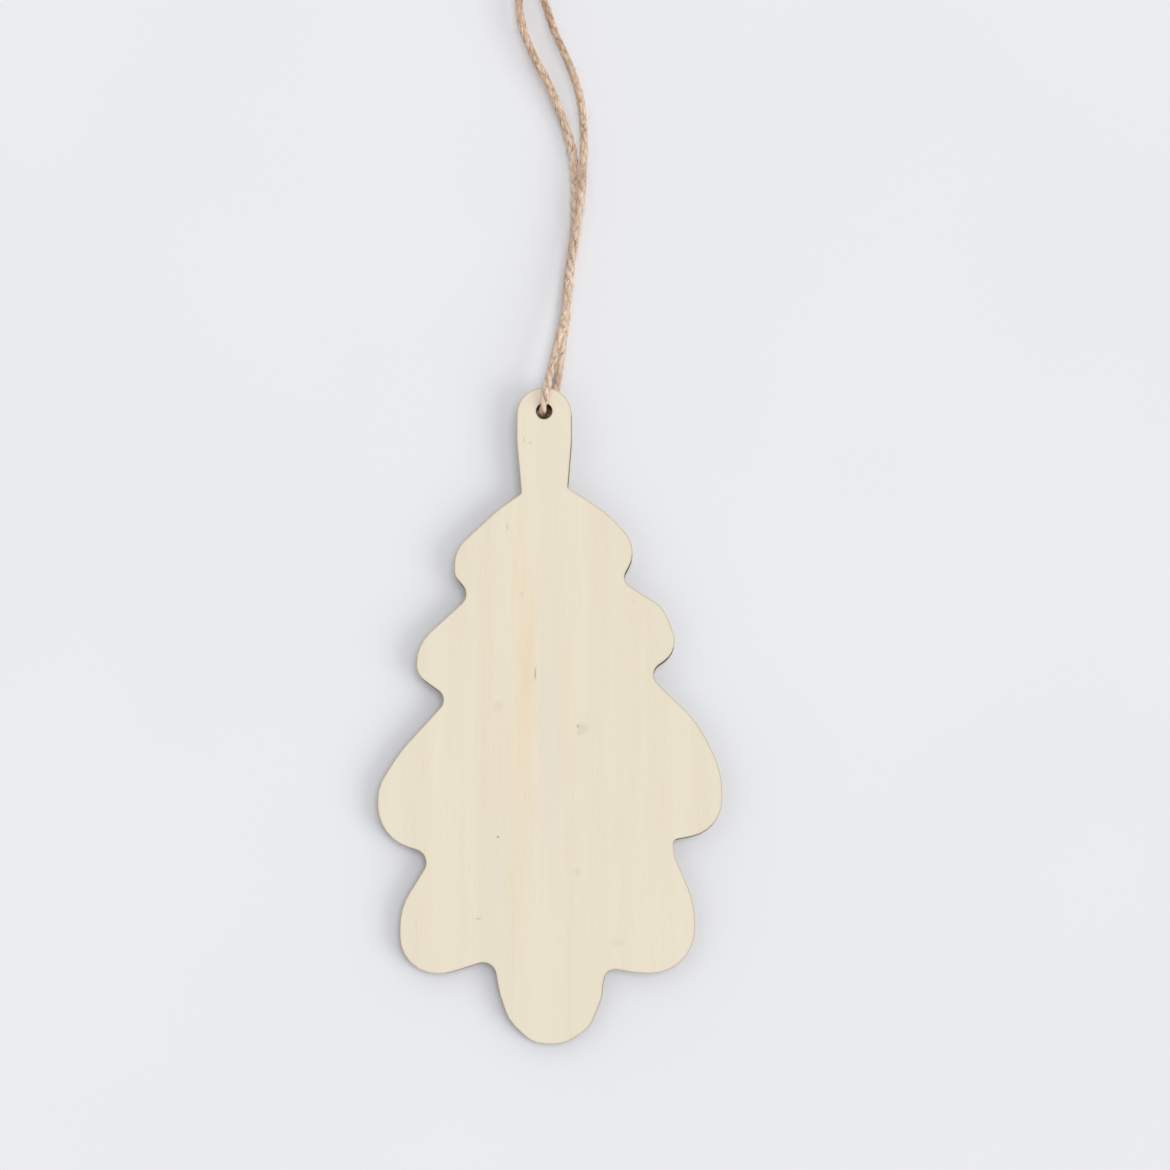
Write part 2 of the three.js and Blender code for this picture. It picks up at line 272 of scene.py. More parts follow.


# %% [markdown]
# ## What the jute's corners remember
# The finish has to know things that only this script knows: where a corner lies among the fibres, how
# deep it lies in a groove, which gets painted shade, where the twine is paler, and where soot from the
# burnt edge of the hole and painted shade in the hole and under the stem's end darken it. They could be
# painted by hand, but the twine has too many corners for that, so each corner stores them as
# attributes and the finish reads these.

# %% Make a piece of jute
PALE_ALONG_Y = (60 * MM, 72 * MM, 84 * MM, 128 * MM)  # places up the table
PALE_SHARES = (1.05, 0.75, 1.1, -0.1)  # how much paler the twine is there
SOOT_AND_SHADE_SPOTS = [
    # middle of each spot, how far from it the soot and painted shade start to fade and end, and how
    # much there is
    # soot from the hole's burnt edge and painted shade deep in the hole, on the strand and the tangle
    (np.array((-0.00115, 0.0556, 0.0015)), (2.2 * MM, 3.2 * MM), 1.0),
    # the same at the front strand's lower end in the hole
    (np.array((-0.0015, 0.0547, 0.0036)), (0.9 * MM, 2.0 * MM), 1.0),
    # painted shade on the back strand where it comes out under the stem's end
    (np.array((0.001, 0.0608, 0.0008)), (1.6 * MM, 5.6 * MM), 0.35),
]


def soot_and_shade_at(places):
    """How much soot and painted shade the jute has at each place: the most that any spot gives it."""
    amounts = []
    for middle, reach, amount in SOOT_AND_SHADE_SPOTS:
        amounts.append(np.interp(np.linalg.norm(places - middle, axis=1), reach, (amount, 0.0)))
    return np.max(amounts, axis=0)


def jute_piece(name, corners, faces, fibres, groove_shades):
    """A smooth-shaded mesh object that stores on its corners what the finish reads."""
    mesh = bpy.data.meshes.new(name)
    mesh.from_pydata([tuple(corner) for corner in corners], [], faces)
    mesh.update()
    stored = mesh.attributes.new("fibre", "FLOAT_VECTOR", "POINT")
    stored.data.foreach_set("vector", np.ravel(fibres).astype(np.float32))
    places = np.array(corners)
    pale = np.interp(places[:, 1], PALE_ALONG_Y, PALE_SHARES)
    for key, values in (("groove_shade", groove_shades), ("pale", pale), ("soot_and_shade", soot_and_shade_at(places))):
        stored = mesh.attributes.new(key, "FLOAT", "POINT")
        stored.data.foreach_set("value", np.array(values).astype(np.float32))
    mesh.polygons.foreach_set("use_smooth", [True] * len(mesh.polygons))
    piece = bpy.data.objects.new(name, mesh)
    bpy.context.collection.objects.link(piece)
    return piece


# %% Twist the loop's two yarns
YARN_SIDES = 20
GROOVE_SHADE_DEPTH = (0.48 * MM, 0.56 * MM)  # painted shade nearer to the twine's middle, none further out
YARN_ROOM = 0.03 * MM  # height of the yarns' lowest corners above the table


def tube_walls(first, rings, sides):
    """The faces round a tube whose corners are numbered ring by ring from the first one."""
    faces = []
    for ring in range(rings - 1):
        for side in range(sides):
            a = first + ring * sides + side
            b = first + ring * sides + (side + 1) % sides
            faces.append((a, b, b + sides, a + sides))
    return faces


def twisted_yarns(lines, name):
    """One mesh of two-yarn twine along each line. A line is the twine's number, its points, how far
    along each one is, and whether its start and its end are rounded off."""
    corners, faces, fibres, groove_shades = [], [], [], []
    for twine, points, along, round_start, round_end in lines:
        _, across, over = sideways_along(points)
        for yarn in (0, 1):
            first = len(corners)
            middles = yarn_middles(twine, yarn, points, along)
            radii = yarn_radii(twine, yarn, along, round_start, round_end)
            for ring, (point, distance) in enumerate(zip(points, along)):
                for side in range(YARN_SIDES):
                    angle = 2 * math.pi * side / YARN_SIDES
                    outward = math.cos(angle) * across[ring] + math.sin(angle) * over[ring]
                    place, ridged = among_fibres(angle, distance, yarn)
                    corner = middles[ring] + radii[ring] * ridged * outward
                    corner[2] = max(corner[2], YARN_ROOM)
                    corners.append(corner)
                    fibres.append(place)
                    # the deeper a corner lies between the two yarns, the more painted groove shade it
                    # gets
                    depth = np.linalg.norm(corner - point)
                    groove_shades.append(np.interp(depth, GROOVE_SHADE_DEPTH, (1.0, 0.0)))
            last = first + (len(points) - 1) * YARN_SIDES
            faces += tube_walls(first, len(points), YARN_SIDES)
            faces.append(tuple(range(first + YARN_SIDES - 1, first - 1, -1)))
            faces.append(tuple(range(last, last + YARN_SIDES)))
    return jute_piece(name, corners, faces, fibres, groove_shades)


twine_loop = twisted_yarns([(0, loop_line, loop_along, False, False)], "twine_two_yarns")
print("faces on the loop's yarns:", len(twine_loop.data.polygons))


# %% [markdown]
# ## The knot
# The photograph ends before the two strands meet. A loop like this is closed with an overhand knot in
# the doubled twine: both strands go through the middle of the knot, and both turn round them before
# they come out as two short cut tails. The straight strands are the ends of the same centreline, so
# their yarns run on from the loop's without a step. The turns are two more lines side by side, which
# dive in between the straight strands at both ends.

# %% Wind the knot
KNOT_MIDDLE = np.array((-0.00515, 0.1565, 0.003))
KNOT_RADIUS = 2.2 * MM  # from the knot's axis to the middle of the twine that turns round it
KNOT_TURNS = 1.7
KNOT_PITCH = 2.8 * MM  # how far the twine gets along the axis in one turn
TURN_STEPS = 34  # points on the whole of a line
DIVE_START, DIVE_RATE = 0.3, 5  # radius at a line's two ends, and how soon it grows to the full one


def knot_turn(strand):
    """Centreline of one of the two strands that turn round the knot."""
    points = []
    for step in range(TURN_STEPS + 1):
        share = step / TURN_STEPS
        angle = 2 * math.pi * KNOT_TURNS * share
        radius = KNOT_RADIUS * min(1, DIVE_START + DIVE_RATE * min(share, 1 - share))
        rise = KNOT_PITCH * (KNOT_TURNS * (share - 0.5) + strand / 4)
        points.append(KNOT_MIDDLE + (radius * math.cos(angle), rise, -radius * math.sin(angle)))
    return evenly(smooth_route(points), RING_STEP)


knot = twisted_yarns(
    [
        (0, twine_line[: loop_first + 1], twine_along[: loop_first + 1], True, False),
        (0, twine_line[loop_last:], twine_along[loop_last:], False, True),
        (1, *knot_turn(-1), True, True),
        (2, *knot_turn(1), True, True),
    ],
    "twine_knot_yarns",
)
print("faces on the knot's yarns:", len(knot.data.polygons))


# %% [markdown]
# ## Loose fibres
# Jute is hairy. Short fibres stand off the yarns all along, a few long ones hang beside the twine, and
# the cut ends fray. Each one is a line of seven points here, and becomes a thin tube later. A hair
# particle system would be quicker to set up, but its hairs aren't mesh, and they would grow into the
# wood. A seeded random generator places the lines instead, so every run gives the same ones.
#
# No fibre goes under the table or into the leaf, which isn't level: the twine under its stem tilts it
# by a degree, and it leans a little to its left. Fibres near the stem also leave room for the loop to
# swing.

# %% Keep a fibre clear of the table and the leaf
HAIR_JOINTS = 6  # stretches between a fibre's seven points
HAIR_ROOM = 0.06 * MM  # height of a fibre above what it lies on
LEAF_FACE = Vector((0.00957, 0.01529, 3.94 * MM))  # the face's rise along x and y, height at the origin
LEAF_TOP_Y = 60 * MM
BEYOND_LEAF = 0.3 * MM  # how far past the top of the stem a fibre still stays above the face
HOLE_AXIS = Vector((-1.15, 55.55, 0)) * MM
STEM_REACH = 5.4 * MM  # from the hole's axis to the furthest point of the stem's round end, with room
STEM_FACE = 4.7 * MM  # lowest part of the stem's face


def above_leaf(point):
    """Keeps a fibre's point above the table, and on top of the leaf where it crosses it."""
    point.z = max(point.z, HAIR_ROOM)
    if point.y < LEAF_TOP_Y + BEYOND_LEAF:
        point.z = max(point.z, LEAF_FACE.dot((point.x, point.y, 1)) + HAIR_ROOM)
    return point


def runs_into_stem(line):
    """Whether a fibre would run into the stem's round end when the loop swings."""
    near = any(math.hypot(point.x - HOLE_AXIS.x, point.y - HOLE_AXIS.y) < STEM_REACH for point in line)
    return near and min(point.z for point in line) < STEM_FACE


# %% Stand short fibres off the twine
HAIR_LEAN = (18, 62)  # angle between a fibre's root and the twine, in degrees
HAIR_SWEEP, HAIR_CURL = 0.8, 1.2  # how strongly a fibre bends along the twine and anywhere
HAIR_ROOT = 0.5  # from the twine's middle to a fibre's root, in mm
LONGEST = 4  # the most that a fibre is longer than the shortest one, in times the usual length
ROOT_HEIGHT = 0.25 * MM  # no fibre starts lower above the table
NEAR_LEAF = 0.4 * MM  # a strand this far beyond the top of the stem or nearer passes over or under it
FREE_HEIGHT = 5.2 * MM  # near the leaf, fibres stand only on a strand that runs higher than this
UPWARDS = 0.2  # and only where their root points up
hair_maker = random.Random(11)


def random_direction():
    return Vector([hair_maker.gauss(0, 1) for _ in range(3)]).normalized()


def hair_points(start, direction, bend, length):
    """A curved line that starts at the yarn and bends as it goes."""
    step = length / HAIR_JOINTS
    points, heading = [Vector(start)], Vector(direction).normalized()
    for _ in range(HAIR_JOINTS):
        points.append(above_leaf(points[-1] + heading * step))
        heading = (heading + bend * step / length).normalized()
    return points


def hairs_on(points, count, shortest, usual):
    """Lines of fibres that stand off a twine. The shortest ones are the most."""
    ahead, across, over = sideways_along(points)
    lines = []
    while len(lines) < count:
        k = hair_maker.randrange(1, len(points) - 1)
        turn = hair_maker.uniform(0, 2 * math.pi)
        outward = Vector(math.cos(turn) * across[k] + math.sin(turn) * over[k])
        lean = math.radians(hair_maker.uniform(*HAIR_LEAN))
        way = Vector(ahead[k]) * hair_maker.choice((-1, 1))
        length = min(shortest + hair_maker.expovariate(1 / usual), shortest + LONGEST * usual)
        start = Vector(points[k]) + outward * HAIR_ROOT * MM
        bend = way * HAIR_SWEEP + random_direction() * HAIR_CURL
        near_leaf = points[k][1] < LEAF_TOP_Y + NEAR_LEAF
        hidden = near_leaf and (points[k][2] < FREE_HEIGHT or outward.z < UPWARDS)
        if start.z < ROOT_HEIGHT or hidden:
            continue
        line = hair_points(start, way * math.cos(lean) + outward * math.sin(lean), bend, length)
        if not runs_into_stem(line):
            lines.append(line)
    return lines


# %% [markdown]
# Most of the coarse fibres that show on the real twine don't stand off it. They cling to it and run
# along it, a little askew, and their shadows make the twine look fibrous and not moulded. Ridges on
# the yarns can't give such sharp shadows, so these fibres are separate lines as well.

# %% Lay coarse fibres along the twine
LYING_RINGS = (6, 18)  # how many steps of the centreline such a fibre runs along
LYING_DRIFT = (-0.5, 1.4)  # how far it winds round the twine on its way, in radians
LYING_HEIGHT = (0.64, 0.75)  # its height above the twine's middle, in mm
LYING_ROOM = 0.1 * MM  # its lowest point above the table


def lying_fibres(points, count):
    """Lines of coarse fibres that cling to the twine."""
    _, across, over = sideways_along(points)
    lines = []
    while len(lines) < count:
        span = hair_maker.randrange(*LYING_RINGS)
        first = hair_maker.randrange(1, len(points) - span - 1)
        turn = hair_maker.uniform(0, 2 * math.pi)
        drift = hair_maker.uniform(*LYING_DRIFT)
        height = hair_maker.uniform(*LYING_HEIGHT) * MM
        line = []
        for joint in range(HAIR_JOINTS + 1):
            k = first + round(span * joint / HAIR_JOINTS)
            angle = turn + drift * joint / HAIR_JOINTS
            outward = math.cos(angle) * across[k] + math.sin(angle) * over[k]
            line.append(Vector(points[k] + height * outward))
        if min(point.z for point in line) > LYING_ROOM and not runs_into_stem(line):
            lines.append(line)
    return lines


# %% [markdown]
# The hole is a dark brown pocket in the photograph, though a pale table lies below it. What fills it
# can't be made out. Here it is a tangle of short fibres that the hole has rubbed off the twine, painted
# dark brown for the soot of its burnt edge and for the shade deep in the hole, so that the pale table
# below doesn't show. Where the front strand comes down to the stem, the real twine also has a looser,
# paler side on its right, and a few more fibres beside the strand make that.

# %% Fill the hole with a tangle
HOLE_ROOM = 1.33 * MM  # how far from the hole's axis a fibre in it may lie
TANGLE_HEIGHTS = (0.15 * MM, 2.6 * MM)
TANGLE_LOWEST = 0.1 * MM
TANGLE_LENGTH = (0.8, 1.6)  # in mm
TANGLE_SLOPE = 0.3  # the fibres lie rather flat


def tangle_in_hole(count):
    """Lines of short fibres in the hole and under it."""
    lowest, highest = TANGLE_HEIGHTS
    lines = []
    for _ in range(count):
        turn, share = hair_maker.uniform(0, 2 * math.pi), hair_maker.random()
        out = HOLE_ROOM * math.sqrt(hair_maker.random())
        start = HOLE_AXIS + Vector((out * math.cos(turn), out * math.sin(turn), 0))
        start.z = lowest + (highest - lowest) * share
        way = random_direction()
        way.z *= TANGLE_SLOPE
        line, length = [], hair_maker.uniform(*TANGLE_LENGTH) * MM
        for joint in range(HAIR_JOINTS + 1):
            point = start + way * length * (joint / HAIR_JOINTS - 0.5)
            beside = Vector((point.x - HOLE_AXIS.x, point.y - HOLE_AXIS.y, 0))
            if beside.length > HOLE_ROOM:
                point -= beside * (1 - HOLE_ROOM / beside.length)
            point.z = min(max(point.z, TANGLE_LOWEST), highest)
            line.append(point)
        lines.append(line)
    return lines


# %% Loosen the front strand's right side
LOOSE_FROM, LOOSE_TO = 62 * MM, 70 * MM  # stretch up the table
LOOSE_ABOVE = 4 * MM  # only the front strand runs higher than this there
LOOSE_RINGS = (6, 20)  # how many steps of the centreline such a fibre runs along
LOOSE_AWAY, LOOSE_SAG = (0.55, 1.15), (-0.5, 0.2)  # beside and above the twine's middle, in mm
LOOSE_BELLY = 0.8  # how it bulges away in the middle of its length


def loose_side(points, count):
    """Lines of fibres that run beside the front strand where it comes down to the stem."""
    in_front = points[:, 2] > LOOSE_ABOVE
    beside = np.flatnonzero((points[:, 1] > LOOSE_FROM) & (points[:, 1] < LOOSE_TO) & in_front).tolist()
    lines = []
    for _ in range(count):
        first = hair_maker.choice(beside[: -LOOSE_RINGS[0]])
        span = min(hair_maker.randrange(*LOOSE_RINGS), beside[-1] - first)
        away, sag = hair_maker.uniform(*LOOSE_AWAY) * MM, hair_maker.uniform(*LOOSE_SAG) * MM
        line = []
        for joint in range(HAIR_JOINTS + 1):
            share = joint / HAIR_JOINTS
            side = away * (LOOSE_BELLY + LOOSE_BELLY * share * (1 - share))
            line.append(Vector(points[first + round(span * share)]) + Vector((side, 0, sag)))
        lines.append(line)
    return lines


# %% [markdown]
# Five long fibres show so clearly beside the real strands that their points are read from the
# photograph, in millimetres. The two cut ends of the twine aren't in the photograph. Cut jute always
# frays, so a small brush of fibres splays from each.

# %% Place the long fibres and the frayed ends
LONG_FIBRES = [
    [(0.6, 115.7, 0.9), (-0.3, 115.1, 1.1), (-1.4, 114.8, 1.0), (-2.7, 115.4, 0.6)],
    [(-5.6, 130.2, 0.9), (-6.7, 130.3, 1.2), (-7.8, 131.1, 0.8)],
    [(6.2, 105.4, 1.6), (7.0, 102.7, 1.3), (7.7, 98.9, 0.7), (7.6, 95.4, 0.3)],
    [(2.2, 78.6, 2.6), (1.3, 77.6, 2.2), (0.9, 75.7, 1.8)],
    [(3.6, 92.2, 2.6), (2.6, 93.8, 2.0), (2.3, 95.7, 1.4)],
]
FRAY_SETBACK, FRAY_WIDTH = 0.3, 0.25  # how far behind the end and round it the fibres start, in mm
FRAY_SPLAY = 0.45
FRAY_LENGTH = (0.7, 1.6)  # in mm


def long_fibre(points):
    line, _ = evenly(smooth_route([Vector(point) * MM for point in points]), 0.1 * MM)
    picked = np.linspace(0, len(line) - 1, HAIR_JOINTS + 1).round().astype(int)
    return [Vector(line[k]) for k in picked]


def frayed_end(tip, direction, count):
    """Lines of fibres that splay from a cut end."""
    return [
        hair_points(
            Vector(tip) - Vector(direction) * FRAY_SETBACK * MM + random_direction() * FRAY_WIDTH * MM,
            Vector(direction) + random_direction() * FRAY_SPLAY,
            random_direction(),
            hair_maker.uniform(*FRAY_LENGTH) * MM,
        )
        for _ in range(count)
    ]


# %% [markdown]
# ## From lines to a mesh
# Each line becomes a tube with three sides, which is as few as a closed tube can have, because there
# are thousands. It is closed at its root and narrows to a point. All the fibres on the loop are one
# mesh and all those on the knot another.

# %% Grow the loop's fibres
HAIR_RADIUS = 0.022 * MM
HAIR_SIZES = (0.7, 1.4)  # thinnest and thickest fibre, as shares of that radius
HAIR_TAPER = 0.6  # how much thinner a fibre gets before its pointed end
HAIR_SIDES = 3
SHADE_STEP, RING_SHADE = 0.37, 0.1  # steps in the finish's noise from fibre to fibre and along one


def fibre_piece(lines, name):
    """One mesh of all the fibres."""
    corners, faces, fibres = [], [], []
    for number, points in enumerate(lines):
        first = len(corners)
        thickness = HAIR_RADIUS * hair_maker.uniform(*HAIR_SIZES)
        _, across, over = sideways_along(np.array(points))
        for ring in range(HAIR_JOINTS):
            radius = thickness * (1 - HAIR_TAPER * ring / HAIR_JOINTS)
            for side in range(HAIR_SIDES):
                angle = 2 * math.pi * side / HAIR_SIDES
                offset = math.cos(angle) * across[ring] + math.sin(angle) * over[ring]
                corners.append(np.array(points[ring]) + radius * offset)
                shade = number * SHADE_STEP + ring * RING_SHADE
                fibres.append((math.cos(number), math.sin(number), shade))
        tip = len(corners)
        corners.append(np.array(points[-1]))
        shade = number * SHADE_STEP + HAIR_JOINTS * RING_SHADE
        fibres.append((math.cos(number), math.sin(number), shade))
        faces.append(tuple(range(first + HAIR_SIDES - 1, first - 1, -1)))
        faces += tube_walls(first, HAIR_JOINTS, HAIR_SIDES)
        base = tip - HAIR_SIDES
        faces += [(base + side, base + (side + 1) % HAIR_SIDES, tip) for side in range(HAIR_SIDES)]
    return jute_piece(name, corners, faces, fibres, [0.0] * len(corners))


loop_hairs = hairs_on(loop_line, 2200, 0.5 * MM, 0.2 * MM)
loop_hairs += hairs_on(loop_line, 260, 0.8 * MM, 0.7 * MM)
loop_hairs += [long_fibre(points) for points in LONG_FIBRES] + lying_fibres(loop_line, 1500)
loop_hairs += tangle_in_hole(260) + loose_side(loop_line, 70)
loop_fuzz = fibre_piece(loop_hairs, "twine_loose_fibres")
print("loose fibres on the loop:", len(loop_hairs))

# %% Grow the knot's fibres and fray the two cut ends
knot_hairs = []
for strand in (-1, 1):
    knot_hairs += hairs_on(knot_turn(strand)[0], 260, 0.5 * MM, 0.3 * MM)
for tail, inner, end in ((twine_line[:loop_first], 1, 0), (twine_line[loop_last:], -2, -1)):
    knot_hairs += hairs_on(tail, 180, 0.5 * MM, 0.35 * MM)
    outwards = tail[end] - tail[inner]
    knot_hairs += frayed_end(tail[end], outwards / np.linalg.norm(outwards), 40)
knot_fuzz = fibre_piece(knot_hairs, "knot_loose_fibres")
print("loose fibres on the knot:", len(knot_hairs))


# %% [markdown]
# ## Letting the twine ride on its body
# The loop is a free cord of a known length: it leaves the knot and comes back to it. Each new piece
# takes the place of a CAD node and rides on the body `loop`, so it swings with the hinge.

# %% Let the twine ride on its body
for piece in (twine_loop, knot, loop_fuzz, knot_fuzz):
    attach(piece, "loop")
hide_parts("twine_loop")
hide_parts("twine_knot")


# %% [markdown]
# ## The leaf's five layers
# Laser plywood is three veneers and two films of glue. The outline is already right in the CAD nodes,
# so each layer starts as a copy of its node, and what the copy needs is clean faces, soft rims and
# marks for the burn. Drawing the outline anew would only bring in differences.
#
# The leaf is tilted a little, so what is flat and what is wall is told along the leaf's own upward
# direction and not along Z.

# %% Find the leaf's own upward direction
LEAF_UP = max(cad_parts["front_veneer"].data.polygons, key=lambda face: face.area).normal.copy()
LEAF_UP *= math.copysign(1, LEAF_UP.z)
LEVEL = 0.003 * MM  # most that the heights of a flat face's corners differ
print("leaf's tilt in degrees:", round(math.degrees(LEAF_UP.angle(Vector((0, 0, 1)))), 3))


def is_flat(face):
    """Whether a face lies in the front or the back of its layer, which its corners' heights tell."""
    heights = [corner.co.dot(LEAF_UP) for corner in face.verts]
    return max(heights) - min(heights) < LEVEL


# %% Copy a layer from its CAD node
MERGE_REACH = 0.06 * MM


def clean_copy(node, name):
    """A copy of a CAD layer, open in edit mode, with its loose triangles merged."""
    piece = bpy.data.objects.new(name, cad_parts[node].data.copy())
    bpy.context.collection.objects.link(piece)
    bpy.ops.object.select_all(action="DESELECT")
    piece.select_set(True)
    bpy.context.view_layer.objects.active = piece
    piece.data.materials.clear()
    bpy.ops.object.mode_set(mode="EDIT")
    bpy.ops.mesh.select_mode(type="EDGE")
    bpy.ops.mesh.select_all(action="SELECT")
    bpy.ops.mesh.remove_doubles(threshold=MERGE_REACH)
    return piece


def choose(items, wanted):
    """Selects the wanted faces or edges of the mesh in edit mode and nothing else."""
    bpy.ops.mesh.select_all(action="DESELECT")
    for item in items:
        item.select_set(wanted(item))


# %% [markdown]
# The triangles of each flat side are dissolved into two large faces. It takes two, because a face
# can't have a hole: the two edges that run from the hole to the left and to the right rim stay. The
# slanting edge in each rectangle of the wall goes too, so that only the rims and the upright edges are
# left for what follows.

# %% Join the triangles of a layer
HOLE_MIDDLE = HOLE_AXIS + Vector((0, 0, 4.7)) * MM
HOLE_RADIUS = 1.5 * MM
HOLE_EDGE = HOLE_RADIUS * 1.05  # corners nearer to the hole's axis than this are on its edge
UPRIGHT = 0.999  # an edge at a smaller cosine to the leaf's upward direction crosses the wall


def bridges(edges):
    """The shortest straight way from the hole to the outer rim on its left and on its right."""
    best = {}
    for edge in edges:
        ends = sorted(edge.verts, key=lambda corner: (corner.co - HOLE_MIDDLE).cross(LEAF_UP).length)
        near, far = (corner.co - HOLE_MIDDLE for corner in ends)
        if near.cross(LEAF_UP).length > HOLE_EDGE or far.cross(LEAF_UP).length < HOLE_EDGE:
            continue
        near.z = far.z = 0
        radial = (far - near).normalized().dot(near.normalized()) / (far - near).length
        side = near.x > 0
        if radial > best.get(side, (0, None))[0]:
            best[side] = (radial, edge)
    return {edge for _, edge in best.values()}


def join_flat_sides(mesh):
    """Leaves two faces on the front and two on the back of a layer."""
    shape = bmesh.from_edit_mesh(mesh)
    inner = [edge for edge in shape.edges if all(is_flat(face) for face in edge.link_faces)]
    kept = set()
    for side in (1, -1):
        kept |= bridges([edge for edge in inner if edge.link_faces[0].normal.dot(LEAF_UP) * side > 0])
    inner = set(inner) - kept
    choose(shape.edges, lambda edge: edge in inner)
    bpy.ops.mesh.dissolve_edges(use_verts=False)


def join_walls(mesh):
    """Leaves one rectangle on each stretch of a layer's wall."""
    shape = bmesh.from_edit_mesh(mesh)
    walls = [edge for edge in shape.edges if not any(is_flat(face) for face in edge.link_faces)]
    ways = {edge: (edge.verts[0].co - edge.verts[1].co).normalized() for edge in walls}
    crossing = {edge for edge, way in ways.items() if abs(way.dot(LEAF_UP)) < UPRIGHT}
    choose(shape.edges, lambda edge: edge in crossing)
    bpy.ops.mesh.dissolve_edges(use_verts=False)


# %% [markdown]
# The sharp rims are then bevelled. The outer ones are sanded softly, and the inner ones leave a fine
# groove at each film of glue. Two narrow insets on a flat side make room for the brown halo that the
# laser leaves beside the cut. Each corner stores how burnt it is, for the finish: fully on the wall
# and the rim, a little on the first inset, not at all on the second.

# %% Round the rims and mark the burn
RIM_SEGMENTS = 3
BURN_INSETS = ((0.08 * MM, 0.3), (0.3 * MM, 0.0))  # width of a ring and how burnt its inner edge is
WALL_SLOT = 1
WALL_LEAN = 0.5  # a face whose normal is at a smaller cosine to the leaf's upward direction is wall


def round_rims(mesh, width):
    """Bevels the edges between the flat sides and the wall."""
    shape = bmesh.from_edit_mesh(mesh)
    choose(shape.edges, lambda edge: sum(is_flat(face) for face in edge.link_faces) == 1)
    bpy.ops.mesh.bevel(offset=width, segments=RIM_SEGMENTS, profile=0.5, affect="EDGES")


def mark_burn(mesh):
    """Stores how burnt each corner is, and gives the wall its own material slot."""
    shape = bmesh.from_edit_mesh(mesh)
    burnt = shape.verts.layers.float.new("burnt")
    for corner in shape.verts:
        corner[burnt] = 1.0
    bpy.ops.mesh.select_mode(type="FACE")
    choose(shape.faces, is_flat)
    for width, amount in BURN_INSETS:
        bpy.ops.mesh.inset(thickness=width, depth=0)
        shape = bmesh.from_edit_mesh(mesh)
        burnt = shape.verts.layers.float["burnt"]
        for corner in shape.verts:
            if corner.select:
                corner[burnt] = amount
    for face in shape.faces:
        face.material_index = WALL_SLOT if abs(face.normal.dot(LEAF_UP)) < WALL_LEAN else 0
    bmesh.update_edit_mesh(mesh)


# %% Make the five layers
SMOOTH_ANGLE = math.radians(20)  # the outline's own kinks are shaded smooth, the rims aren't


def leaf_layer(node, name, rim):
    """A finished layer in the place of its CAD node, with rims of the given width."""
    piece = clean_copy(node, name)
    join_flat_sides(piece.data)
    join_walls(piece.data)
    round_rims(piece.data, rim)
    mark_burn(piece.data)
    bpy.ops.object.mode_set(mode="OBJECT")
    bpy.ops.object.shade_smooth_by_angle(angle=SMOOTH_ANGLE)
    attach(piece, "leaf")
    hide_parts(node)
    print(name, "faces:", len(piece.data.polygons))
    return piece


front_layer = leaf_layer("front_veneer", "front_basswood_veneer", 0.06 * MM)
back_layer = leaf_layer("back_veneer", "back_basswood_veneer", 0.06 * MM)
core_layer = leaf_layer("core_veneer", "cross_laid_core", 0.05 * MM)
glue_layers = [
    leaf_layer("front_glue_line", "front_glue_film", 0.03 * MM),
    leaf_layer("back_glue_line", "back_glue_film", 0.03 * MM),
]


# %% [markdown]
# ## Helpers for materials
# Every finish here is procedural. A small helper adds a node and fills its inputs, either with numbers
# or with another node's output. Colours are written as the 0 to 255 values that a picture shows, and
# turned into the linear values that the shader needs. Building the same nodes by hand would take
# hundreds of clicks, and the helpers keep each finish to a few lines.

# %% Helpers that add nodes
def paint(red, green, blue):
    """A linear colour from the values that a picture shows."""
    shares = [value / 255 for value in (red, green, blue)]
    return (*(s / 12.92 if s <= 0.04045 else ((s + 0.055) / 1.055) ** 2.4 for s in shares), 1.0)


def add(tree, kind, inputs=None, **settings):
    """Adds a node to a tree. An input is a number, a colour or another node's output."""
    made = tree.nodes.new(kind)
    for key, value in settings.items():
        setattr(made, key, value)
    for key, value in (inputs or {}).items():
        if isinstance(value, bpy.types.NodeSocket):
            tree.links.new(value, made.inputs[key])
        else:
            made.inputs[key].default_value = value
    return made


def blend(tree, share, first, second, how="MIX"):
    """One colour over another."""
    made = add(tree, "ShaderNodeMix", {0: share, 6: first, 7: second}, data_type="RGBA", blend_type=how)
    return made.outputs[2]


def sum_up(tree, how, first, second=0.0):
    return add(tree, "ShaderNodeMath", {0: first, 1: second}, operation=how).outputs[0]


def between(tree, value, low, high, start=0.0, end=1.0):
    """A value brought from one range to another, softly."""
    inputs = {"Value": value, "From Min": low, "From Max": high, "To Min": start, "To Max": end}
    return add(tree, "ShaderNodeMapRange", inputs, interpolation_type="SMOOTHSTEP").outputs[0]


def stretched_noise(tree, vector, scale, detail=3.0, roughness=0.55):
    """Noise on coordinates that are scaled differently along each axis."""
    scaled = add(tree, "ShaderNodeMapping", {"Vector": vector, "Scale": scale})
    inputs = {"Vector": scaled.outputs[0], "Scale": 1.0, "Detail": detail, "Roughness": roughness}
    return add(tree, "ShaderNodeTexNoise", inputs).outputs[0]


# %% Helpers for groups and materials
def new_group(name, inputs, outputs):
    """An empty node group with named inputs and outputs."""
    tree = bpy.data.node_groups.new(name, "ShaderNodeTree")
    for direction, sockets in (("INPUT", inputs), ("OUTPUT", outputs)):
        for socket, kind in sockets.items():
            tree.interface.new_socket(name=socket, in_out=direction, socket_type="NodeSocket" + kind)
    return tree, tree.nodes.new("NodeGroupInput").outputs, tree.nodes.new("NodeGroupOutput").inputs


def with_group(tree, group, inputs):
    """Places a node group in a tree, fills its inputs and gives its outputs."""
    return add(tree, "ShaderNodeGroup", inputs, node_tree=group).outputs


